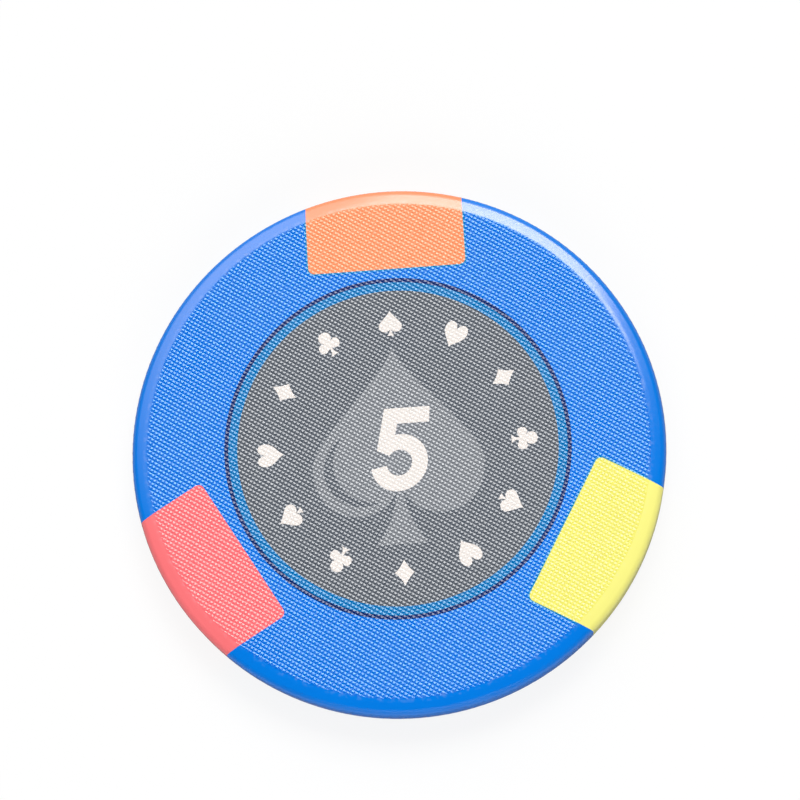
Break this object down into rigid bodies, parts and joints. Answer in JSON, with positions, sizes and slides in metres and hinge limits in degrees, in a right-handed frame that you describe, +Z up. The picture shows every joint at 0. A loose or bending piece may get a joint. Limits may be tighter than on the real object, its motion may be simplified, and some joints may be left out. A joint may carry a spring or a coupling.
{
  "type": "poker chip",
  "caption": "Round poker chip with a bevelled rim, coloured edge spots, a sealed steel weight and a printed inlay on each face; it lies flat, stacks and stands in a chip rack.",
  "frame": {"origin": "on the table, under the centre of the chip as it lies flat", "axes": "+Z up out of the front face, +Y towards the top of the front numeral and the middle of the orange edge spot, +X to the numeral's right"},
  "size_m": [0.039, 0.039, 0.0034],
  "materials": {
    "body_blue": "satin moulded plastic, fine embossed dot texture on the faces, smooth rim",
    "slug_steel": "plain punched steel",
    "spot_orange": "satin moulded plastic, fine embossed dot texture on the faces, smooth rim",
    "spot_yellow": "satin moulded plastic, fine embossed dot texture on the faces, smooth rim",
    "spot_red": "satin moulded plastic, fine embossed dot texture on the faces, smooth rim",
    "inlay_grey": "satin laminate, fine embossed dot texture",
    "print_navy": "satin print film",
    "print_grey": "satin print film",
    "print_white": "satin print film"
  },
  "bodies": {
    "root": {"chip_body": "body_blue", "weight_slug": "slug_steel", "edge_spot_orange": "spot_orange", "edge_spot_yellow": "spot_yellow", "edge_spot_red": "spot_red", "front_inlay": "inlay_grey", "front_ring_line": "print_navy", "front_spade": "print_grey", "front_numeral": "print_white", "front_pips": "print_white", "back_inlay": "inlay_grey", "back_ring_line": "print_navy", "back_spade": "print_grey", "back_numeral": "print_white", "back_pips": "print_white"}
  },
  "joints": []
}
